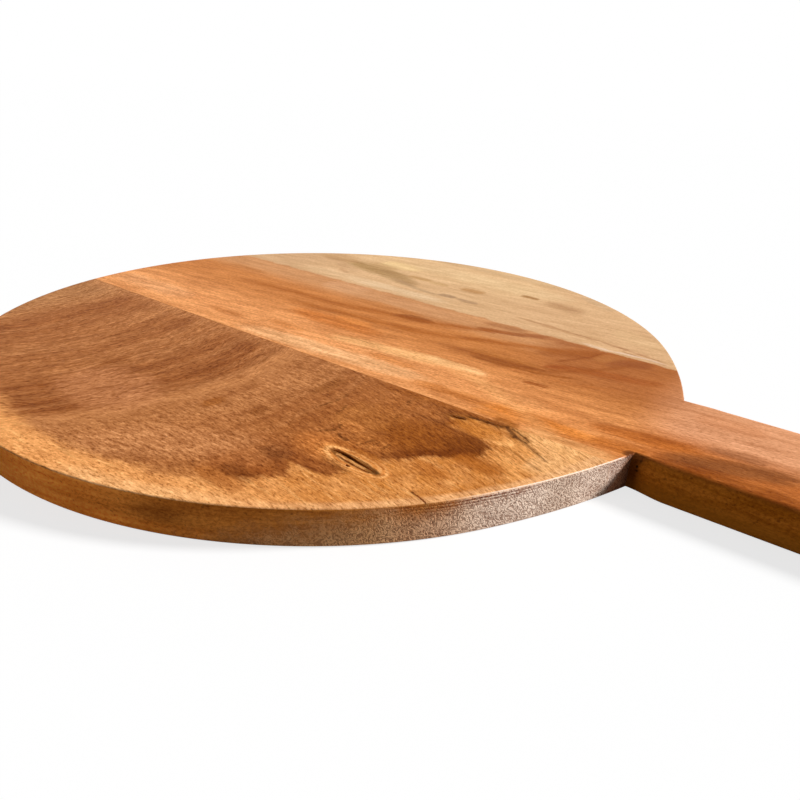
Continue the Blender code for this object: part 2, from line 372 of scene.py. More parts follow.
class Formulas:
    """Formulas in millimetres, built as nodes on a shader graph."""

    def __init__(self, tree):
        self.tree = tree

    def node(self, kind):
        return self.tree.nodes.new(kind)

    def split(self, socket):
        node = self.node("ShaderNodeSeparateXYZ")
        self.tree.links.new(socket, node.inputs[0])
        return [Value(self, output) for output in node.outputs]

    def put(self, socket, value):
        if isinstance(value, Value):
            self.tree.links.new(value.socket, socket)
        else:
            socket.default_value = value

    def math(self, operation, *values):
        node = self.node("ShaderNodeMath")
        node.operation = operation
        for socket, value in zip(node.inputs, values):
            self.put(socket, value)
        return Value(self, node.outputs[0])

    def rise(self, value, low, high):
        node = self.node("ShaderNodeMapRange")
        node.interpolation_type = "SMOOTHSTEP"
        self.put(node.inputs["Value"], value)
        self.put(node.inputs["From Min"], low)
        self.put(node.inputs["From Max"], high)
        return Value(self, node.outputs[0])

    def noise(self, x, y, z, detail=2.0, roughness=0.5, distortion=0.0):
        """Soft noise, about 0.5 on average, with one feature for each unit of its coordinates."""
        place = self.node("ShaderNodeCombineXYZ")
        for socket, value in zip(place.inputs, (x, y, z)):
            self.put(socket, value)
        node = self.node("ShaderNodeTexNoise")
        self.tree.links.new(place.outputs[0], node.inputs["Vector"])
        node.inputs["Scale"].default_value = 1.0
        node.inputs["Detail"].default_value = detail
        node.inputs["Roughness"].default_value = roughness
        node.inputs["Distortion"].default_value = distortion
        return Value(self, node.outputs[0])

    def curve(self, value, points):
        """A smooth curve through a few (value, level) points, with levels from 0 to 1."""
        low, high = points[0][0], points[-1][0]
        node = self.node("ShaderNodeFloatCurve")
        self.put(node.inputs["Value"], (value - low) / (high - low))
        handles = node.mapping.curves[0].points
        while len(handles) < len(points):
            handles.new(0.5, 0.5)
        for handle, (place, level) in zip(handles, points):
            handle.location = ((place - low) / (high - low), level)
        node.mapping.update()
        return Value(self, node.outputs[0])

    def mix(self, share, first, second, blend="MIX"):
        node = self.node("ShaderNodeMix")
        node.data_type = "RGBA"
        node.blend_type = blend
        self.put(node.inputs[0], share)
        self.put(node.inputs[6], first)
        self.put(node.inputs[7], second)
        return Value(self, node.outputs[2])

    def shade(self, colour, share, factors):
        """The colour multiplied by factors, as far as the share says."""
        return self.mix(share, colour, factors, "MULTIPLY")

    def oval_squared(self, along, across, place, size, turn):
        """Squared distance from a place in units of a turned oval: 1 on its outline."""
        dx, dy = along - place[0], across - place[1]
        c, s = math.cos(math.radians(turn)), math.sin(math.radians(turn))
        u = (dx * c + dy * s) / size[0]
        v = (dy * c - dx * s) / size[1]
        return u * u + v * v

    def spot(self, along, across, place, size, turn=0.0):
        """A soft oval patch: 1 at its place, 0 past its half-length and half-width."""
        return self.oval_squared(along, across, place, size, turn).fall(0.0, 1.0)

    def oval(self, along, across, place, size, turn):
        """Distance from a place in units of an oval: 1 on its outline."""
        return self.math("SQRT", self.oval_squared(along, across, place, size, turn))

    def call(self, group, *values):
        """One use of a shared node group."""
        node = self.node("ShaderNodeGroup")
        node.node_tree = group
        for socket, value in zip(node.inputs, values):
            self.put(socket, value)
        return Value(self, node.outputs[0])

    def stroke(self, x, y, start, end):
        """Distance from the line between two points."""
        run_x, run_y = end[0] - start[0], end[1] - start[1]
        length = math.hypot(run_x, run_y)
        return self.call(STROKE, x, y, *start, run_x / length, run_y / length, length)

    def patch(self, colour, x, y, place, size, slope, strength, tone):
        """The colour with a soft patch of another tone, long along the grain and tilted by its slope."""
        return self.call(PATCH, colour, linear(*tone), x, y, *place, *size, slope, strength)

    def streak(self, x, y, points, width):
        """A soft streak along a curve through (x, y) points, faded at both ends."""
        low = min(point[1] for point in points)
        span = max(max(point[1] for point in points) - low, 1.0)
        centre = self.curve(x, [(px, (py - low) / span) for px, py in points]) * span + low
        start, end = points[0][0], points[-1][0]
        fade = (end - start) * 0.2
        return abs(y - centre).fall(0.0, width) * x.rise(start, start + fade) * x.fall(end - fade, end)


class Graph(Formulas):
    """One material's node graph."""

    def __init__(self, name):
        self.material = bpy.data.materials.new(name)
        self.material.use_nodes = True
        super().__init__(self.material.node_tree)
        self.shader = self.tree.nodes["Principled BSDF"]
        coordinates = self.node("ShaderNodeTexCoord")
        scaled = self.node("ShaderNodeVectorMath")
        scaled.operation = "SCALE"
        scaled.inputs["Scale"].default_value = 1 / MM
        self.tree.links.new(coordinates.outputs["Object"], scaled.inputs[0])
        self.x, self.y, self.z = self.split(scaled.outputs[0])
        self.normal_x, self.normal_y, self.normal_z = self.split(coordinates.outputs["Normal"])

    def finish(self, colour, roughness, height, depth):
        """Joins the colour, the roughness and a relief of that depth in mm to the shader."""
        self.put(self.shader.inputs["Base Color"], colour)
        self.put(self.shader.inputs["Roughness"], roughness)
        bump = self.node("ShaderNodeBump")
        bump.inputs["Strength"].default_value = 1.0
        bump.inputs["Distance"].default_value = depth * MM
        self.put(bump.inputs["Height"], height)
        self.tree.links.new(bump.outputs[0], self.shader.inputs["Normal"])
        self.shader.inputs["Specular IOR Level"].default_value = SPECULAR_LEVEL
        return self.material


def new_group(name, colours, numbers, result):
    """An empty node group with those inputs: its formulas and its input values."""
    tree = bpy.data.node_groups.new(name, "ShaderNodeTree")
    for label in colours:
        tree.interface.new_socket(label, in_out="INPUT", socket_type="NodeSocketColor")
    for label in numbers:
        tree.interface.new_socket(label, in_out="INPUT", socket_type="NodeSocketFloat")
    tree.interface.new_socket("result", in_out="OUTPUT", socket_type=result)
    formulas = Formulas(tree)
    sockets = formulas.node("NodeGroupInput").outputs
    return formulas, [Value(formulas, sockets[i]) for i in range(len(colours) + len(numbers))]


def patch_group():
    labels = ("x", "y", "place x", "place y", "length", "width", "slope", "strength")
    f, values = new_group("patch", ("colour", "tone"), labels, "NodeSocketColor")
    colour, tone, x, y, place_x, place_y, length, width, slope, strength = values
    dx = x - place_x
    u = dx / length
    v = (y - place_y - dx * slope) / width
    flat = u * u
    share = (flat * flat + v * v).fall(0.0, 1.0) * strength
    f.put(f.node("NodeGroupOutput").inputs[0], f.mix(share, colour, tone))
    return f.tree


def stroke_group():
    labels = ("x", "y", "start x", "start y", "run x", "run y", "length")
    f, (x, y, start_x, start_y, run_x, run_y, length) = new_group("stroke", (), labels, "NodeSocketFloat")
    dx, dy = x - start_x, y - start_y
    u = dx * run_x + dy * run_y
    v = dy * run_x - dx * run_y
    past = f.math("MAXIMUM", abs(u - length / 2) - length / 2, 0.0)
    f.put(f.node("NodeGroupOutput").inputs[0], f.math("SQRT", v * v + past * past))
    return f.tree


PATCH = patch_group()
STROKE = stroke_group()


# Factors that turn wood into its darker pores and its paler flecks and keep its hue
DARKER = (0.60, 0.47, 0.34, 1.0)
PALER = (1.26, 1.34, 1.46, 1.0)


def grained(g, colour, fields, share):
    """The colour with dark and pale grain worked in from (noise field, strength) pairs."""
    for field, strength in fields:
        tone = g.mix(field.rise(0.31, 0.75), PALER, DARKER)
        colour = g.shade(colour, share * strength, tone)
    return colour


def side_masks(g):
    """Where the surface is the rim: the sawn side, its share of end grain, and the disc's top edge, with
    sanding wear and a painted highlight.
    """
    rolled = abs(g.normal_z)
    on_handle = g.x.rise(153.0, 158.0)
    upright = g.mix(on_handle, rolled.fall(0.2, 0.6), rolled.fall(0.55, 0.97))
    torn = g.noise(g.x * 0.3, g.y * 0.3, g.z * 0.25, 3.0, 0.6) - 0.5
    end = (abs(g.normal_x) + torn * 0.2 - (g.z - 6) * 0.020).rise(0.48, 0.82) * upright
    sanded_and_highlit = g.normal_z.rise(0.25, 0.5) * g.normal_z.fall(0.8, 0.95)
    sanded_and_highlit = sanded_and_highlit * g.x.fall(149.6, 150.8) * abs(g.x).rise(104, 130)
    return upright, end, sanded_and_highlit


def end_grain(g, pale, dark):
    """Fuzzy sawn end grain: pale torn fibres with dark squiggles, and saw lines below the top edge."""
    around = g.math("ARCTAN2", g.y, g.x) * (DISC_RADIUS / MM)
    field = g.noise(around * 0.44 + g.z * 0.1, g.z * 0.44, g.x * 0.02, 2.0, 0.5, 0.4)
    maze = g.math("SINE", field * 40.0) * 0.5 + 0.5
    pores = g.noise(around * 1.5 + 31.0, g.z * 1.2, g.x * 0.02, 2.0, 0.6, 0.6)
    blotches = g.noise(around * 0.12 + 7.0, g.z * 0.16, 3.0, 3.0, 0.6)
    bare = g.mix(abs(g.normal_x).rise(0.70, 0.90), linear(246, 185, 128), pale)
    bare = g.mix(g.x.fall(-40, 20) * 0.7, bare, linear(222, 168, 120))
    colour = g.mix(maze.rise(0.05, 0.7), g.mix(0.42, dark, bare), bare)
    colour = g.mix(pores.rise(0.54, 0.69) * 0.55, colour, dark)
    colour = g.mix(blotches.fall(0.36, 0.56) * 0.22, colour, dark)
    browned = (g.z.rise(4.0, 12.0) * 0.6 + 0.4) * around.rise(-112, -105) * around.fall(-98, -82)
    colour = g.shade(colour, browned, (0.66, 0.45, 0.28, 1.0))
    colour = g.shade(colour, abs(around + 56).fall(3, 10), (0.84, 0.81, 0.78, 1.0))
    wavy = g.z + (g.noise(around * 0.07, 4.0, 8.0, 2.0, 0.5) - 0.5) * 0.9
    saw = around.rise(-116, -104) * around.fall(-76, -58) * (pores.fall(0.4, 0.62) * 0.6 + 0.4)
    for height, share in ((11.4, 1.0), (10.4, 0.9), (9.4, 0.5)):
        line = abs(wavy - height).fall(0.12, 0.45) * saw
        colour = g.mix(line * share, colour, linear(106, 44, 26))
    # Browner rim towards the neck: partly saw scorch, partly painted shade of the inner corner
    by_neck = g.y.fall(-27.0, -20.0)
    colour = g.mix(g.x.rise(143.0, 151.0) * by_neck * 0.35, colour, linear(122, 72, 44))
    # Painted shadow: the handle's cast shadow on the rim beside the neck, a browner, darker diagonal band
    handle_shadow = (g.y - g.z * 0.76).rise(-39.5, -35.5) * g.x.rise(100, 120) * by_neck
    colour = g.shade(colour, handle_shadow, (0.85, 0.55, 0.36, 1.0))
    # Darkest right at the inner corner: saw scorch and painted shade together
    colour = g.mix(g.x.rise(149.5, 152.0) * by_neck * 0.8, colour, linear(70, 36, 18))
    return colour, maze * 0.4 - pores.rise(0.5, 0.7) * 0.5


def near_stave_wood():
    g = Graph("dark_stave_wood")
    x, y, z = g.x, g.y, g.z

    # Slow wander of the grain, ragged edges and fine jitter
    wander = g.noise(x * 0.02 + 4.0, y * 0.035, z * 0.02, 3.0, 0.5) - 0.5
    ragged = g.noise(x * 0.13, y * 0.13 + 9.0, z * 0.05, 3.0, 0.6) - 0.5
    fine = g.noise(x * 0.5, y * 0.5 + 2.0, z * 0.2, 2.0, 0.6) - 0.5
    jag = g.noise(x * 1.2, y * 1.2 + 6.0, z * 0.3, 2.0, 0.6) - 0.5

    # Cross figure: bands that run across the stave and bow round the knots
    bow = x + (y + 75) * (y + 75) * 0.005 + wander * 10 + ragged * 1.5
    figure = g.curve(bow, FIGURE_BANDS)
    ripple = g.noise(bow * 0.16, y * 0.014, z * 0.02, 3.0, 0.6)
    colour = g.mix(figure, linear(148, 85, 43), linear(194, 128, 76))
    colour = g.mix(ripple.rise(0.46, 0.72) * 0.45, colour, linear(198, 134, 82))
    colour = g.mix(ripple.fall(0.28, 0.50) * 0.45, colour, linear(140, 78, 40))
    colour = g.mix(x.fall(-128, -98) * 0.7, colour, linear(182, 127, 79))
    colour = g.mix(x.rise(30, 80) * 0.6, colour, linear(172, 100, 46))
    colour = g.mix(y.rise(-48, -38) * x.fall(-10, 30) * 0.5, colour, linear(194, 129, 78))
    ragged_x, ragged_y = x + ragged * 10, y + ragged * 10
    for place, size, slope, strength, tone in NEAR_PATCHES:
        colour = g.patch(colour, ragged_x, ragged_y, place, size, slope, strength, tone)
    fine_x, fine_y = x + fine * 3, y + fine * 3
    for place, size, strength, tone in NEAR_SPOTS:
        colour = g.patch(colour, fine_x, fine_y, place, size, 0.0, strength, tone)

    # Heartwood's edge, feathered along the grain, with golden sapwood outside it and along the rim
    swirl = y - x * 0.15 + x * x * (0.0019 + (y + 92) * 0.000015)
    feather = g.noise(x * 0.14, swirl * 0.9, z * 0.2, 3.0, 0.6) - 0.5
    edge_y = y + fine * 1.2 + ragged * 1.5
    reach = g.curve(edge_y, HEART_EDGE) * HEART_REACH
    tilt = (g.curve(edge_y + 0.8, HEART_EDGE) - g.curve(edge_y - 0.8, HEART_EDGE)) * (HEART_REACH / 1.6)
    beyond = x - reach + ragged * 3 + fine * 2.0 + jag * 2.0 + feather * 9.0
    past = beyond / g.math("SQRT", tilt * tilt + 1.0)
    soft = y.fall(-126, -108) * 6.0
    sap = g.rise(past, -1.6 - soft, soft + 1.2)
    out = g.math("SQRT", x * x + y * y)
    along_rim = (out + ragged * 9 + feather * 6).rise(135, 142) * y.fall(-120, -100) * x.rise(-80, -10)
    sap = g.math("MAXIMUM", sap, along_rim)
    edge_line = past.rise(-7.0, -1.0) * past.fall(-1.0, 1.5)
    colour = g.mix(edge_line * (y.rise(-112, -80) * 0.25 + 0.15), colour, linear(104, 52, 14))
    golden = g.mix(ragged.rise(-0.2, 0.25), linear(206, 130, 62), linear(224, 152, 86))
    golden = g.mix(g.spot(x, y, (134, -58), (26, 14), -30) * 0.8, golden, linear(234, 162, 92))
    golden = g.mix(g.spot(x, y, (134, -41), (24, 11), -12), golden, linear(247, 184, 118))
    golden = g.mix(y.fall(-136, -98) * 0.85, golden, linear(238, 164, 97))
    rays = g.noise(x * 0.07, swirl * 0.75, z * 0.2, 3.0, 0.6)
    golden = g.mix(rays.rise(0.52, 0.68) * g.y.rise(-108, -92) * 0.75, golden, linear(176, 102, 42))
    golden = g.mix(rays.fall(0.32, 0.46) * 0.6, golden, linear(244, 178, 108))
    colour = g.mix(sap, colour, golden)
    for place, size, strength, tone in SAP_SPOTS:
        colour = g.patch(colour, fine_x, fine_y, place, size, 0.0, strength, tone)
    bright_rim = (out + ragged * 4).rise(143, 148) * x.rise(22, 38) * x.fall(64, 90) * y.fall(-110, -90)
    colour = g.mix(bright_rim * 0.8, colour, linear(250, 187, 123))
    worn_edge = out.rise(146.0, 148.6) * x.rise(66, 100)
    colour = g.mix(worn_edge * 0.55, colour, linear(244, 186, 130))

    # Large knot: a pale eye with rings that close round its open slot
    eye = g.oval(x, y, (87.0, -89.0), (15.0, 5.6), -3.0) + ragged * 0.25
    eye_rings = g.noise(eye * 6.0, x * 0.03, 5.0, 2.0, 0.5)
    eye_colour = g.mix(eye_rings.rise(0.4, 0.65), linear(220, 140, 72), linear(242, 172, 102))
    colour = g.mix(g.spot(x, y, (76, -88), (17, 9)) * 0.8, colour, linear(204, 124, 62))
    colour = g.mix(eye.fall(0.85, 1.1), colour, eye_colour)
    colour = g.patch(colour, x, fine_y, (80.0, -83.6), (8.0, 2.6), -0.05, 0.75, (172, 100, 46))
    lens = g.oval(x, y, (88.0, -89.3), (10.5, 2.0), -6.0) + fine * 0.25
    colour = g.mix(lens.fall(0.8, 1.05) * 0.85, colour, linear(150, 96, 46))
    colour = g.mix(lens.rise(0.72, 0.9) * lens.fall(0.95, 1.2) * 0.7, colour, linear(104, 62, 26))
    slot_end = g.stroke(x, y, (89.0, -88.9), (97.5, -90.1)).fall(0.2, 1.1)
    colour = g.mix(slot_end * 0.8, colour, linear(86, 52, 20))
    slot_lip = g.stroke(x, y + fine, (81, -89.4), (93, -90.5)).fall(0.2, 0.6)
    colour = g.mix(slot_lip * 0.8, colour, linear(230, 164, 98))
    colour = g.patch(colour, x, fine_y, (89.0, -84.0), (7.0, 2.2), -0.05, 0.7, (174, 101, 42))

    # Bark in the small knot, cracks and the short dark marks of wavy grain
    knot_glow = g.oval(x, y, (104, -45.5), (13, 5.2), -14.0) + ragged * 0.4
    colour = g.mix(knot_glow.fall(0.7, 1.1) * sap * 0.7, colour, linear(204, 126, 55))
    jitter_y = y + fine * 1.4 + jag * 0.8
    broken = g.noise(x * 0.5, y * 0.5, 2.0, 1.0, 0.5).rise(0.36, 0.52)
    torn_bark = feather.rise(-0.16, 0.02) * 0.7 + 0.3
    for start, end, width, strength in BARK_STROKES:
        distance = g.stroke(x, jitter_y, start, end)
        halo = distance.fall(width * 0.6, width * 2.6)
        colour = g.mix(halo * (strength * 0.45), colour, linear(136, 80, 32))
        share = distance.fall(width * 0.3, width) * torn_bark
        colour = g.mix(share * strength, colour, linear(78, 44, 15))
    for start, end, width, strength in WAVY_MARKS:
        share = g.stroke(fine_x, jitter_y, start, end).fall(width * 0.3, width * 1.2) * broken
        colour = g.mix(share * (strength * 0.75), colour, linear(104, 58, 22))

    # Mottle, fibres and pores: along the swirling grain by the knots, along the figure elsewhere
    by_knots = bow.rise(2, 30)
    fields = []
    for fine_scale, long_x, long_y, rise_z, detail, roughness in NEAR_GRAIN:
        along = g.noise(x * long_x, swirl * fine_scale, z * rise_z, detail, roughness)
        across = g.noise(bow * fine_scale, y * long_y, z * rise_z, detail, roughness)
        fields.append(g.mix(by_knots, across, along))
    mottle, fibre, pores = fields
    calm = 1.0 - sap * 0.3
    colour = grained(g, colour, ((mottle, 0.55), (fibre, 0.7), (pores, 0.5)), calm)
    colour = g.shade(colour, pores.rise(0.58, 0.70) * 0.6, DARKER)
    colour = g.shade(colour, pores.fall(0.30, 0.42) * 0.6, PALER)

    # The open cracks get painted shade inside, darker with depth
    shaded_hollow = z.rise(7.0, 8.0) * z.fall(12.1, 12.46) * out.fall(146.0, 147.0)
    rim_crack = NEAR_CRACKS["rim_crack"]
    rim_split = g.stroke(x, y, rim_crack[0][:2], rim_crack[-1][:2]).fall(0.4, 0.6) * z.rise(10.8, 11.3)
    shaded_hollow = g.math("MAXIMUM", shaded_hollow, rim_split * z.fall(12.1, 12.46) * 0.6)
    crack_shade_tone = g.mix(z.fall(10.9, 12.2), linear(112, 66, 28), linear(34, 18, 7))
    colour = g.mix(shaded_hollow * 0.95, colour, crack_shade_tone)
    end_tones = (linear(255, 228, 206), linear(126, 76, 52))
    side_tones = (linear(224, 138, 60), linear(194, 112, 44))
    return dress(g, colour, pores, shaded_hollow, *end_tones, *side_tones)


def dress(g, colour, pores, shaded_hollow, end_pale, end_dark, side_pale, side_dark):
    """Adds the sawn rim, with its painted light and shade, to a stave's face colour, but not within its
    cracks, and finishes its material.
    """
    upright, end, sanded_and_highlit = side_masks(g)
    upright, end, sanded_and_highlit = upright * (1.0 - shaded_hollow), end * (1.0 - shaded_hollow), sanded_and_highlit * (1.0 - shaded_hollow)
    side_noise = g.noise(g.x * 0.05, g.y * 0.05, g.z * 0.55, 3.0, 0.6)
    side = g.mix(side_noise.rise(0.35, 0.65), side_dark, side_pale)
    specks = g.noise(g.x * 0.6, g.y * 0.6, g.z * 0.9, 1.0, 0.5)
    flecks = g.noise(g.x * 0.9, g.y * 0.9, g.z * 1.4 + 3.0, 3.0, 0.65)
    side = g.mix(specks.rise(0.66, 0.76) * 0.4, side, linear(60, 30, 10))
    side = grained(g, side, ((flecks, 0.7),), 1.0)
    # Painted light: the rim's left part, which the key light leaves in shade, made nearly twice as bright
    side = g.shade(side, g.x.fall(25, 70), (1.9, 1.85, 1.9, 1.0))
    # Painted light: brighter low on the rim's left, where the board's shadow on the floor dims it
    low = g.z.fall(0.5, 5.5) * g.x.fall(70, 78) * (g.x.rise(30, 50) * 0.6 + 0.4)
    side = g.shade(side, low, (1.75, 1.75, 1.75, 1.0))
    side = g.shade(side, g.spot(g.x, g.z, (60, 7.2), (10, 3.8)) * 0.9, (0.62, 0.56, 0.48, 1.0))
    side = scorch_and_corner_shade(g, side)
    sawn, relief = end_grain(g, end_pale, end_dark)
    rim = g.mix(end, side, sawn)
    colour = g.mix(upright, colour, rim)
    # Painted shade: the far side's rim and rounded edge, which face the key light, darkened
    far_edge_painted_shade = (g.normal_y + g.normal_x * 0.5).rise(0.1, 0.5) * g.y.rise(0, 20) * g.normal_z.fall(0.88, 0.99)
    colour = g.shade(colour, far_edge_painted_shade * 0.8, (0.4, 0.37, 0.34, 1.0))
    # The disc's top edge: pale sanding wear and a painted highlight, whiter towards the handle
    wear_and_highlight_tone = g.mix(g.x.rise(118, 136), linear(236, 176, 120), linear(255, 240, 224))
    worn_and_highlit = sanded_and_highlit * (flecks.rise(0.3, 0.6) * 0.35 + 0.45) * g.normal_y.fall(0.1, 0.4)
    colour = g.mix(worn_and_highlit, colour, wear_and_highlight_tone)
    fibres = g.noise(g.x * 0.08, g.y * 2.2, g.z * 2.2, 2.0, 0.6)
    roughness = 0.52 + (pores - 0.5) * 0.3 + end * 0.3 + upright * 0.08
    height = (fibres - 0.5) * 0.4 - pores.rise(0.56, 0.74) * 0.8 + relief * end * 3.0
    return g.finish(colour, roughness, height, 0.06)


# Scorched spots on the handle's near side, as (x, z) and half-size in mm
BURN_SPOTS = (
    ((154.7, 11.6), (0.7, 1.7)),
    ((154.0, 8.8), (0.6, 0.7)),
    ((154.15, 7.4), (0.7, 0.5)),
)


def scorch_and_corner_shade(g, side):
    """Scorch of the saw with painted shade where the handle's near side leaves the disc, and paler colour low
    on the handle.
    """
    on_handle = g.x.rise(150.4, 151.0)
    side = g.mix(on_handle * g.z.fall(2.0, 8.0) * 0.5, side, linear(206, 128, 44))
    # The dark strip in the inner corner: saw scorch and painted shade together
    near = on_handle * g.y.fall(-24.0, -18.0)
    side = g.mix(near * g.x.fall(153.4, 155.8) * (g.z.rise(0.0, 6.0) * 0.4 + 0.4), side, linear(52, 22, 4))
    side = g.mix(near * g.x.fall(155.0, 158.5) * 0.35, side, linear(110, 52, 10))
    for place, size in BURN_SPOTS:
        side = g.mix(near * g.spot(g.x, g.z, place, size) * 0.9, side, linear(30, 14, 4))
    return side


# Brightness of the cross figure along the near stave, as (place in mm, level)
FIGURE_BANDS = (
    (-160, 0.60), (-118, 0.65), (-104, 0.45), (-92, 0.26), (-82, 0.28), (-70, 0.62), (-58, 0.32),
    (-46, 0.42), (-35, 0.52), (-22, 0.18), (-12, 0.32), (1, 0.06), (9, 0.30), (14, 0.98),
    (20, 0.68), (30, 0.75), (42, 0.62), (52, 0.42), (70, 0.50), (150, 0.50),
)

# Patches on the near stave, as (place, half-size, slope, strength, tone), in mm and screen colour
NEAR_PATCHES = (
    ((72, -64), (14, 13), 0.0, 0.4, (180, 112, 54)),
    ((99, -64), (23, 16), 0.0, 0.85, (146, 80, 31)),
    ((113, -59), (15, 10), 0.0, 0.7, (120, 63, 21)),
    ((85, -78), (11, 5), 0.0, 0.6, (190, 117, 58)),
    ((86, -39), (34, 4), 0.0, 0.6, (156, 88, 38)),
    ((70, -100), (20, 9), -0.1, 0.75, (148, 82, 40)),
    ((66, -114), (18, 10), -0.3, 0.75, (150, 80, 36)),
    ((48, -105), (24, 16), 0.0, 0.5, (192, 124, 72)),
    ((24, -62), (16, 10), 0.0, 0.5, (198, 132, 80)),
    ((-11, -107), (26, 18), 0.0, 0.62, (198, 131, 83)),
    ((36, -118), (24, 15), 0.6, 0.66, (204, 137, 85)),
    ((102, -71), (11, 5), 0.85, 0.75, (122, 62, 22)),
)

# Smaller spots on it, as (place, half-size, strength, tone)
NEAR_SPOTS = (
    ((43.0, -54.0), (3.5, 11.0), 0.7, (148, 88, 44)),
    ((24.0, -91.0), (3.0, 6.0), 0.7, (160, 92, 40)),
    ((40.6, -85.0), (3.0, 5.0), 0.6, (146, 84, 40)),
    ((67.0, -100.5), (6.5, 5.0), 0.65, (134, 78, 42)),
    ((67.5, -115.5), (8.0, 4.5), 0.65, (126, 70, 34)),
    ((72.0, -73.0), (6.0, 4.0), 0.7, (206, 130, 68)),
    ((-32.7, -93.0), (2.0, 9.0), 0.7, (148, 84, 40)),
)

# Spots in the sapwood and round the knots, as (place, half-size, strength, tone)
SAP_SPOTS = (
    ((117.0, -66.0), (10.0, 5.5), 0.85, (174, 99, 40)),
    ((99.0, -47.5), (7.0, 3.5), 0.75, (164, 91, 35)),
    ((66.0, -121.0), (11.0, 4.0), 0.7, (184, 111, 54)),
    ((108.0, -78.0), (9.0, 4.0), 0.75, (188, 111, 49)),
    ((137.0, -53.0), (11.0, 9.0), 0.85, (247, 186, 122)),
    ((114.5, -48.3), (6.0, 3.5), 0.8, (248, 178, 106)),
)

# Mottle, fibre and pores on it: features in a mm across the grain, along it in x and in y, and in height,
# then the noise's detail and roughness
NEAR_GRAIN = (
    (0.42, 0.16, 0.05, 0.4, 4.0, 0.65),
    (1.1, 0.22, 0.16, 1.0, 3.0, 0.7),
    (1.9, 0.7, 0.6, 1.4, 1.0, 0.6),
)

# Where the heartwood ends along x, as (y, reach), with reach 1 at HEART_REACH mm
HEART_REACH = 120.0
HEART_EDGE = (
    (-152.0, 0.12), (-146.0, 0.22), (-140.0, 0.33), (-132.0, 0.42), (-125.0, 0.50), (-120.5, 0.56),
    (-117.0, 0.60), (-113.5, 0.62), (-110.0, 0.645), (-107.0, 0.66), (-104.5, 0.65), (-103.0, 0.63),
    (-102.0, 0.64), (-101.2, 0.70), (-100.0, 0.738), (-97.0, 0.745), (-94.5, 0.742), (-90.0, 0.70),
    (-86.0, 0.70), (-84.2, 0.72), (-83.0, 0.785), (-80.0, 0.81), (-76.5, 0.838), (-73.0, 0.85),
    (-70.5, 0.885), (-68.5, 0.91), (-66.5, 0.932), (-64.5, 0.952), (-58.0, 0.958), (-54.0, 0.948),
    (-52.8, 0.932), (-51.8, 0.885), (-51.0, 0.84), (-50.0, 0.80), (-47.0, 0.785), (-44.5, 0.762),
    (-42.5, 0.785), (-41.0, 0.83), (-40.0, 0.895), (-38.5, 0.945), (-36.0, 0.965),
)

# Strokes on the near stave, as (start, end, width, strength) in mm
BARK_STROKES = (
    ((92.0, -44.0), (96.3, -42.9), 1.5, 0.9),
    ((97.0, -40.7), (104.4, -39.9), 0.9, 0.8),
    ((104.0, -39.9), (109.5, -39.8), 1.2, 0.8),
    ((109.0, -39.4), (111.5, -38.5), 0.8, 0.7),
    ((111.0, -38.5), (116.8, -42.9), 1.2, 0.7),
    ((116.6, -42.8), (121.2, -44.0), 1.2, 0.65),
    ((113.2, -38.3), (119.7, -41.4), 0.6, 0.7),
    ((119.5, -41.3), (122.0, -42.9), 0.6, 0.7),
    ((121.2, -44.3), (127.8, -48.0), 0.7, 0.55),
    ((127.6, -47.9), (132.2, -50.5), 0.6, 0.5),
    ((117.0, -51.0), (134.0, -57.0), 0.5, 0.35),
    ((111.5, -91.4), (117.5, -93.0), 0.5, 0.6),
    ((78.0, -93.0), (91.0, -94.8), 0.6, 0.4),
    ((80.0, -94.6), (90.0, -96.0), 0.5, 0.3),
)
WAVY_MARKS = (
    ((53.5, -55.0), (54.0, -62.0), 0.9, 0.7),
    ((54.0, -64.0), (52.5, -69.5), 0.8, 0.8),
    ((59.5, -62.5), (61.5, -69.0), 0.8, 0.8),
    ((68.5, -74.5), (69.2, -78.5), 0.9, 0.9),
    ((69.0, -79.0), (66.0, -82.0), 0.8, 0.8),
    ((72.0, -79.6), (77.0, -81.2), 0.8, 0.9),
    ((83.5, -75.5), (81.5, -81.0), 0.7, 0.7),
    ((86.0, -75.5), (85.0, -80.0), 0.7, 0.6),
    ((89.5, -74.5), (88.6, -78.0), 0.7, 0.7),
    ((73.6, -42.5), (74.6, -47.5), 0.9, 0.8),
    ((78.0, -55.0), (79.0, -59.0), 0.7, 0.5),
    ((-13.0, -37.5), (-8.0, -45.5), 0.6, 0.6),
)


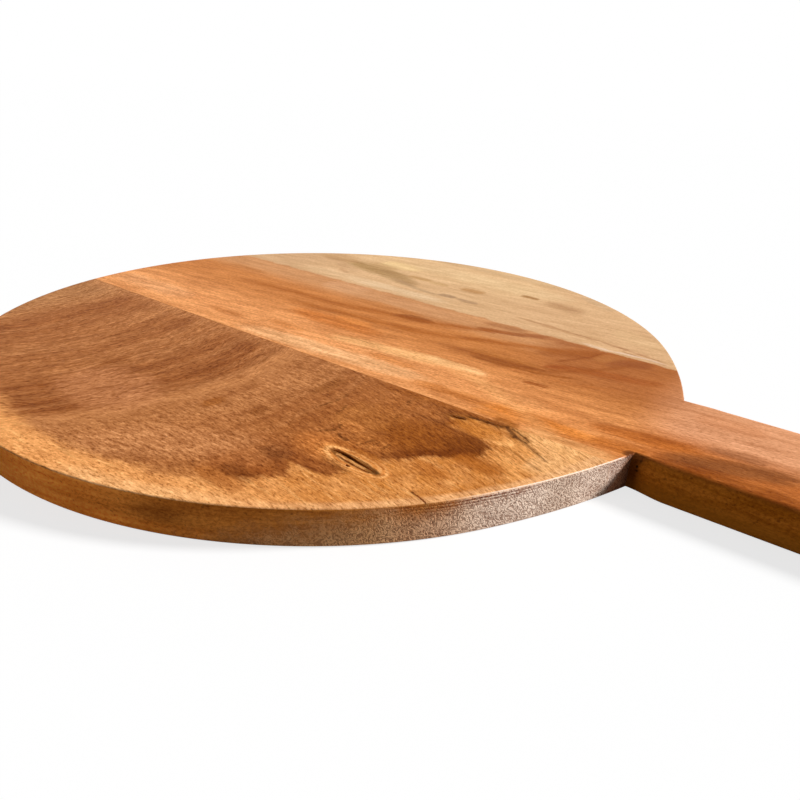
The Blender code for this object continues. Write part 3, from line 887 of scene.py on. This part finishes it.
def straight_stave_wood(name, ground, patches, streaks, grain, joint_side, joint_tone, side_pale, side_dark):
    """A stave with patches and streaks of other tones along its grain, soft flecks and a ragged far joint."""
    g = Graph(name)
    x, y, z = g.x, g.y, g.z
    wander = g.noise(x * 0.012, y * 0.05, z * 0.03, 3.0, 0.55) - 0.5
    ragged = g.noise(x * 0.05, y * 0.22 + 5.0, z * 0.1, 3.0, 0.6) - 0.5
    hairs = g.noise(x * 0.10, y * 0.7 - x * 0.08, z * 0.3, 3.0, 0.65) - 0.5
    shifted = y + wander * 2 + ragged * 3 + hairs * 5
    across = y + wander * 6 - (x + 60) * 0.10
    colour = ground(g)
    uneven = g.noise(x * 0.06, across * 0.35, z * 0.05 + 3.0, 3.0, 0.6).rise(0.2, 0.55) * 0.4 + 0.6
    for place, size, slope, strength, tone in patches:
        colour = g.patch(colour, x, shifted, place, size, slope, uneven * strength, tone)
    for points, width, strength, tone in streaks:
        share = g.streak(x, shifted, points, width) * uneven
        colour = g.mix(share * strength, colour, linear(*tone))
    joint = y - FAR_JOINT_Y / MM + (g.noise(x * 0.11, 7.0, z * 0.1, 3.0, 0.65) - 0.5) * 7 + hairs * 2
    colour = g.mix((joint * joint_side).rise(-0.7, 0.9), colour, joint_tone)
    graining = (1.0 - y.rise(-30, 50) * 0.5) * grain
    bands = g.noise(x * 0.02, across * 0.2, z * 0.02, 4.0, 0.62)
    fibre = g.noise(x * 0.10, across * 0.8, z * 0.6, 4.0, 0.68)
    pores = g.noise(x * 0.6, across * 1.5, z * 1.2, 2.0, 0.65)
    clouds = g.noise(x * 0.05, across * 0.22 + 20.0, z * 0.05, 3.0, 0.6)
    colour = grained(g, colour, ((bands, 0.4), (clouds, 0.4), (fibre, 0.55), (pores, 0.5)), graining)
    colour = g.shade(colour, pores.rise(0.58, 0.72) * graining * 0.4, DARKER)
    colour = g.shade(colour, pores.fall(0.28, 0.42) * graining * 0.4, PALER)
    return dress(g, colour, pores, 0.0, linear(252, 224, 204), linear(130, 80, 58), side_pale, side_dark)


def middle_ground(g):
    """The middle stave's tone: lighter by the near joint, red-brown far right, pink on the handle."""
    x, y = g.x, g.y
    colour = g.mix(y.rise(-18, 16), linear(232, 156, 94), linear(208, 132, 71))
    colour = g.mix(y.rise(28, 46), colour, linear(209, 148, 97))
    colour = g.mix(x.rise(66, 105) * y.rise(0, 26), colour, linear(180, 108, 58))
    colour = g.mix(x.rise(60, 120) * y.fall(-24, 6) * 0.6, colour, linear(226, 144, 78))
    pink = g.mix(y.rise(-14, 4), linear(196, 114, 56), linear(227, 159, 113))
    return g.mix(x.rise(136, 162), colour, pink)


def far_ground(g):
    """The far stave's own tone: cream in the middle, tan towards the right and the left end."""
    x, y = g.x, g.y
    colour = g.mix(y.rise(92, 112), linear(223, 179, 131), linear(231, 189, 139))
    colour = g.mix(x.rise(24, 60) * 0.7, colour, linear(223, 177, 130))
    return g.mix(x.fall(-112, -78) * 0.7, colour, linear(210, 166, 122))


# Patches as (place, half-size, slope, strength, tone) and streaks as (points, width, strength, tone),
# in mm and screen colour
MIDDLE_PATCHES = (
    ((-78, -19), (20, 8), 0.0, 0.7, (214, 138, 80)),
    ((-55, -24), (14, 3.5), 0.0, 0.7, (208, 130, 70)),
    ((-19, -18), (13, 4), 0.0, 0.7, (216, 136, 72)),
    ((-112, 36), (18, 4), 0.0, 0.6, (184, 114, 58)),
    ((-45, 49), (17, 10), 0.0, 0.85, (222, 164, 116)),
    ((-5, 47), (50, 9), 0.03, 0.5, (211, 153, 105)),
    ((-5, 37), (26, 5), 0.0, 0.6, (196, 122, 62)),
    ((-8, 1.5), (32, 8), 0.0, 0.75, (200, 113, 48)),
    ((-2, 8.5), (13, 3.5), 0.0, 0.7, (228, 142, 70)),
    ((36, -9), (36, 6), 0.14, 0.95, (248, 184, 118)),
    ((66, -4.5), (17, 4), 0.0, 0.9, (251, 192, 128)),
    ((43, -18), (13, 3.5), 0.0, 0.6, (222, 140, 74)),
    ((16, -28.5), (56, 7), 0.08, 0.95, (249, 187, 128)),
    ((-115, -22), (34, 9), 0.0, 0.7, (239, 171, 114)),
    ((84, -28), (24, 4.5), 0.05, 0.85, (206, 126, 62)),
    ((98, -14), (22, 5), -0.1, 0.6, (236, 164, 101)),
    ((118, -27), (26, 5.5), 0.0, 0.8, (226, 134, 56)),
    ((132, -35), (19, 4.5), 0.0, 0.85, (246, 178, 112)),
    ((55, 54), (13, 5), 0.1, 0.75, (174, 114, 70)),
    ((54, 45), (10, 4), 0.35, 0.85, (160, 90, 48)),
    ((69, 51), (10, 4.5), 0.5, 0.8, (158, 92, 52)),
    ((84, 54), (16, 5), 0.1, 0.7, (162, 96, 54)),
    ((68, 44), (18, 4), 0.55, 0.7, (208, 143, 90)),
    ((96, 44), (15, 9), 0.5, 0.8, (160, 88, 40)),
    ((111, 50), (7, 7.5), 0.8, 0.7, (186, 118, 64)),
    ((121, 50), (10, 8), 0.5, 0.6, (146, 78, 42)),
    ((77, 16), (21, 6.5), 0.0, 0.8, (172, 102, 48)),
    ((98, 24), (5.5, 3.5), 0.5, 0.8, (160, 82, 38)),
    ((118, 30.5), (25, 5.5), 0.24, 0.85, (162, 86, 40)),
    ((150, -14), (21, 6), 0.15, 0.85, (188, 104, 44)),
    ((180, -15), (24, 7), 0.3, 0.9, (140, 82, 44)),
    ((186, -24.5), (22, 6), 0.0, 0.85, (140, 72, 24)),
    ((100.5, 1.3), (6.5, 1.5), 0.05, 0.85, (166, 88, 38)),
    ((16, 32.6), (13, 4.4), 0.1, 1.0, (118, 56, 14)),
    ((146, -26), (11, 6), 0.0, 0.85, (194, 110, 47)),
    ((154, -28), (6, 3.6), 0.0, 0.95, (88, 47, 19)),
    ((179, -5), (11, 4), 0.1, 0.7, (172, 110, 70)),
    ((166, -26), (11, 4.5), 0.0, 0.8, (132, 66, 21)),
    ((103, -33), (11, 3.5), 0.0, 0.7, (208, 124, 54)),
    ((172, 17), (15, 8), 0.0, 0.7, (209, 137, 90)),
    ((109, -35.8), (6, 2.2), 0.0, 0.8, (154, 87, 32)),
)
MIDDLE_STREAKS = (
    (
        ((-110, 17), (-60, 22), (-24, 24), (-7, 27.5), (8, 30), (30, 35), (56, 45), (76, 54)),
        6.0, 0.85, (172, 96, 40),
    ),
    (
        ((-60, 8.5), (-22, 13.2), (14, 17), (30, 20), (45, 24), (58, 30.5), (78, 38), (93, 44), (106, 52)),
        6.0, 0.9, (174, 98, 42),
    ),
    (((40, 13), (70, 13), (92, 15.5), (104, 23), (113, 34), (122, 48), (130, 64)), 5.0, 0.7, (156, 84, 37)),
    (((60, 11), (73, 9.4), (90, 11.3), (105, 15.5), (116, 22)), 2.4, 0.85, (158, 86, 36)),
    (((94, 30), (101, 40), (105, 50), (108, 62)), 3.5, 0.7, (150, 80, 38)),
    (((70, 6), (90, 8), (112, 12), (134, 22)), 3.0, 0.4, (184, 106, 52)),
    (((56, -4), (76, -9), (96, -18), (110, -25), (128, -34), (138, -38)), 6.5, 0.6, (236, 166, 101)),
)
FAR_PATCHES = (
    ((-55.5, 111), (17, 10.5), 0.0, 0.95, (240, 202, 144)),
    ((0, 120), (62, 13), 0.0, 0.75, (238, 200, 150)),
    ((46, 122), (17, 7.5), 0.0, 0.6, (234, 194, 146)),
    ((0, 142), (70, 5), 0.0, 0.6, (208, 168, 122)),
    ((-60, 92), (30, 10), -0.12, 0.85, (176, 137, 84)),
    ((-40, 87), (22, 9), -0.35, 0.85, (182, 142, 94)),
    ((-62, 102), (14, 6), -0.1, 0.5, (196, 154, 100)),
    ((-96, 96), (17, 7.5), 0.0, 0.8, (198, 153, 104)),
    ((-77, 84), (15, 5.5), -0.3, 0.6, (205, 160, 116)),
    ((-72, 75.5), (7, 3), -0.5, 0.6, (198, 148, 104)),
    ((-29, 95.5), (10, 4.5), 0.0, 0.8, (198, 152, 96)),
    ((-14, 94), (8, 4), 0.0, 0.7, (200, 156, 102)),
    ((8, 96.5), (9, 5.5), 0.0, 0.9, (196, 146, 92)),
    ((-25, 66), (40, 6), 0.0, 0.85, (238, 202, 158)),
    ((-70, 67), (27, 6.5), 0.0, 0.7, (232, 192, 146)),
    ((3.6, 77), (7, 3), 0.0, 0.9, (178, 141, 104)),
    ((17, 76.5), (8, 3), 0.0, 0.85, (184, 146, 108)),
    ((62, 106), (15, 8.5), -0.2, 0.85, (200, 154, 109)),
    ((38, 109.8), (6.5, 3.3), 0.0, 0.95, (170, 120, 68)),
    ((70, 128), (15, 5.5), -0.6, 0.6, (208, 170, 128)),
    ((112, 84), (17, 10), -0.3, 0.6, (232, 190, 140)),
)
FAR_STREAKS = (
    (((-44, 84), (-27, 80), (-14, 76), (4, 74)), 3.4, 0.75, (184, 146, 106)),
    (((44, 74), (61, 72), (80, 70.5), (96, 69.3), (114, 66)), 2.0, 0.9, (190, 140, 95)),
    (((64, 70.5), (84, 68.5), (102, 66)), 1.4, 0.7, (196, 146, 100)),
    (((102, 68), (116, 66), (134, 62.5)), 1.4, 0.85, (182, 126, 84)),
    (((108, 64), (120, 62.3), (136, 59.5)), 1.2, 0.8, (188, 132, 92)),
    (((90, 60.5), (104, 60.2), (122, 61.6), (136, 59.5)), 1.8, 0.8, (244, 212, 182)),
    (((60, 80), (86, 78), (112, 73)), 2.0, 0.4, (204, 156, 110)),
)


def glue_look():
    """Glue film: brown by the dark wood, paler along the rest of the near joint and the far one."""
    g = Graph("glue_film")
    tone = g.noise(g.x * 0.12, g.z * 0.4, 1.0, 3.0, 0.6)
    near = g.mix(g.x.rise(88, 104), linear(186, 118, 66), linear(238, 166, 102))
    near = g.mix(abs(g.x - 109).fall(3, 6) * 0.9, near, linear(150, 86, 32))
    colour = g.mix(g.y.rise(0, 20), near, linear(214, 164, 114))
    colour = g.mix(abs(g.normal_z).fall(0.35, 0.8), colour, linear(214, 176, 150))
    colour = g.shade(colour, tone.rise(0.35, 0.65) * 0.6, DARKER)
    return g.finish(colour, 0.55 + (tone - 0.5) * 0.2, tone, 0.02)


half_film = GLUE_FILM / 2
near_stave = stave("near_stave_wood", None, NEAR_JOINT_Y - half_film)
near_film = stave("near_glue_film", NEAR_JOINT_Y - half_film, NEAR_JOINT_Y + half_film)
handle_stave = stave("handle_stave_wood", NEAR_JOINT_Y + half_film, FAR_JOINT_Y - half_film)
far_film = stave("far_glue_film", FAR_JOINT_Y - half_film, FAR_JOINT_Y + half_film)
far_stave = stave("far_stave_wood", FAR_JOINT_Y + half_film, None)

cut_and_shade(near_stave, [crack_cutter(name, line) for name, line in NEAR_CRACKS.items()])
cut_and_shade(handle_stave, [hole_cutter()])
for piece in (near_film, far_film, far_stave):
    cut_and_shade(piece, [])

glue = glue_look()
middle_wood = straight_stave_wood(
    "orange_stave_wood", middle_ground, MIDDLE_PATCHES, MIDDLE_STREAKS,
    1.0, 1.0, linear(224, 180, 134), linear(208, 122, 43), linear(180, 101, 31),
)
far_wood = straight_stave_wood(
    "pale_stave_wood", far_ground, FAR_PATCHES, FAR_STREAKS,
    0.92, -1.0, linear(204, 140, 90), linear(206, 150, 90), linear(176, 120, 64),
)
fittings = (
    (near_stave, "near_stave", "dark_stave", near_stave_wood()),
    (near_film, "near_glue_line", "glue", glue),
    (handle_stave, "handle_stave", "orange_stave", middle_wood),
    (far_film, "far_glue_line", "glue", glue),
    (far_stave, "far_stave", "pale_stave", far_wood),
)
for piece, node, slot, material in fittings:
    piece.data.materials.clear()
    piece.data.materials.append(material)
    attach(piece, "root")
    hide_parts(node)

# Floor and world
FLOOR_HALF = 6.0
FLOOR_DROP = 0.0002  # how far the floor lies below the board
FLOOR_GLOW = 0.74  # share of the seen floor's white that it gives off itself
FLOOR_GREY = (0.4, 0.4, 0.4, 1)  # its tone for the light that it returns to the board
FILL_STRENGTH = 0.18
WHITE = (1, 1, 1, 1)


def seen_choice(tree, unseen, seen):
    """Shows one shader where it is seen, directly, mirrored or through glass, and lights with another."""
    path = tree.nodes.new("ShaderNodeLightPath")
    share = path.outputs["Is Camera Ray"]
    for ray in ("Is Glossy Ray", "Is Transmission Ray"):
        either = tree.nodes.new("ShaderNodeMath")
        either.operation = "MAXIMUM"
        tree.links.new(share, either.inputs[0])
        tree.links.new(path.outputs[ray], either.inputs[1])
        share = either.outputs[0]
    choice = tree.nodes.new("ShaderNodeMixShader")
    for socket, value in zip(choice.inputs, (share, unseen.outputs[0], seen.outputs[0])):
        tree.links.new(value, socket)
    return choice.outputs[0]


def floor_look():
    """White where it is seen, with the board's soft shadow kept, and grey for the light it returns."""
    material = bpy.data.materials.new("floor")
    material.use_nodes = True
    tree = material.node_tree
    tree.nodes.clear()
    lit = tree.nodes.new("ShaderNodeBsdfDiffuse")
    lit.inputs["Color"].default_value = (1 - FLOOR_GLOW, 1 - FLOOR_GLOW, 1 - FLOOR_GLOW, 1)
    glow = tree.nodes.new("ShaderNodeEmission")
    glow.inputs["Strength"].default_value = FLOOR_GLOW
    both = tree.nodes.new("ShaderNodeAddShader")
    tree.links.new(lit.outputs[0], both.inputs[0])
    tree.links.new(glow.outputs[0], both.inputs[1])
    plain = tree.nodes.new("ShaderNodeBsdfDiffuse")
    plain.inputs["Color"].default_value = FLOOR_GREY
    output = tree.nodes.new("ShaderNodeOutputMaterial")
    tree.links.new(seen_choice(tree, plain, both), output.inputs[0])
    return material


def studio_world():
    """Soft fill light, and white where it is seen."""
    world = bpy.data.worlds.new("studio")
    world.use_nodes = True
    tree = world.node_tree
    tree.nodes.clear()
    fill = tree.nodes.new("ShaderNodeBackground")
    fill.inputs["Color"].default_value = WHITE
    fill.inputs["Strength"].default_value = FILL_STRENGTH
    white = tree.nodes.new("ShaderNodeBackground")
    white.inputs["Color"].default_value = WHITE
    output = tree.nodes.new("ShaderNodeOutputWorld")
    tree.links.new(seen_choice(tree, fill, white), output.inputs[0])
    return world


floor_mesh = bpy.data.meshes.new("floor")
corners = [(-1, -1), (1, -1), (1, 1), (-1, 1)]
points = [(x * FLOOR_HALF, y * FLOOR_HALF, -FLOOR_DROP) for x, y in corners]
floor_mesh.from_pydata(points, [], [(0, 1, 2, 3)])
floor_mesh.materials.append(floor_look())
floor = add_to_scene("floor", floor_mesh)
bpy.context.scene.world = studio_world()

# Key light: a soft sun from behind on the right, which leaves the near rim's left half in shade
KEY_AZIMUTH = math.radians(42.0)
KEY_ELEVATION = math.radians(28.0)
KEY_SPREAD = math.radians(10.0)
KEY_STRENGTH = 5.45
key_data = bpy.data.lights.new("key", "SUN")
key_data.angle = KEY_SPREAD
key_data.energy = KEY_STRENGTH
key = add_to_scene("key", key_data)
flat = math.cos(KEY_ELEVATION)
key.location = (flat * math.cos(KEY_AZIMUTH), flat * math.sin(KEY_AZIMUTH), math.sin(KEY_ELEVATION))
key.rotation_euler = key.location.to_track_quat("Z", "Y").to_euler()

# Camera, fitted to the disc's rims, the joints and the handle in the photo
IMAGE_SIZE = 800
SENSOR_WIDTH = 36.0
CLIP_START = 0.01
CAMERA_PLACE = Vector((0.20522, -0.21604, 0.11297))
CAMERA_RIGHT = Vector((0.81972442, 0.56920137, 0.06373129))
CAMERA_DOWN = Vector((0.30404831, -0.33814971, -0.89062304))
FOCAL_PIXELS = 658.64
OPTICAL_CENTRE = (455.8, 424.8)
camera_data = bpy.data.cameras.new("camera")
camera_data.sensor_width = SENSOR_WIDTH
camera_data.sensor_fit = "HORIZONTAL"
camera_data.lens = SENSOR_WIDTH * FOCAL_PIXELS / IMAGE_SIZE
camera_data.shift_x = (IMAGE_SIZE / 2 - OPTICAL_CENTRE[0]) / IMAGE_SIZE
camera_data.shift_y = (OPTICAL_CENTRE[1] - IMAGE_SIZE / 2) / IMAGE_SIZE
camera_data.clip_start = CLIP_START
camera = add_to_scene("camera", camera_data)
backward = CAMERA_RIGHT.cross(-CAMERA_DOWN).normalized()
axes = Matrix((CAMERA_RIGHT, -CAMERA_DOWN, backward)).transposed().to_4x4()
camera.matrix_world = Matrix.Translation(CAMERA_PLACE) @ axes
bpy.context.scene.camera = camera
bpy.context.scene.view_settings.view_transform = "Standard"
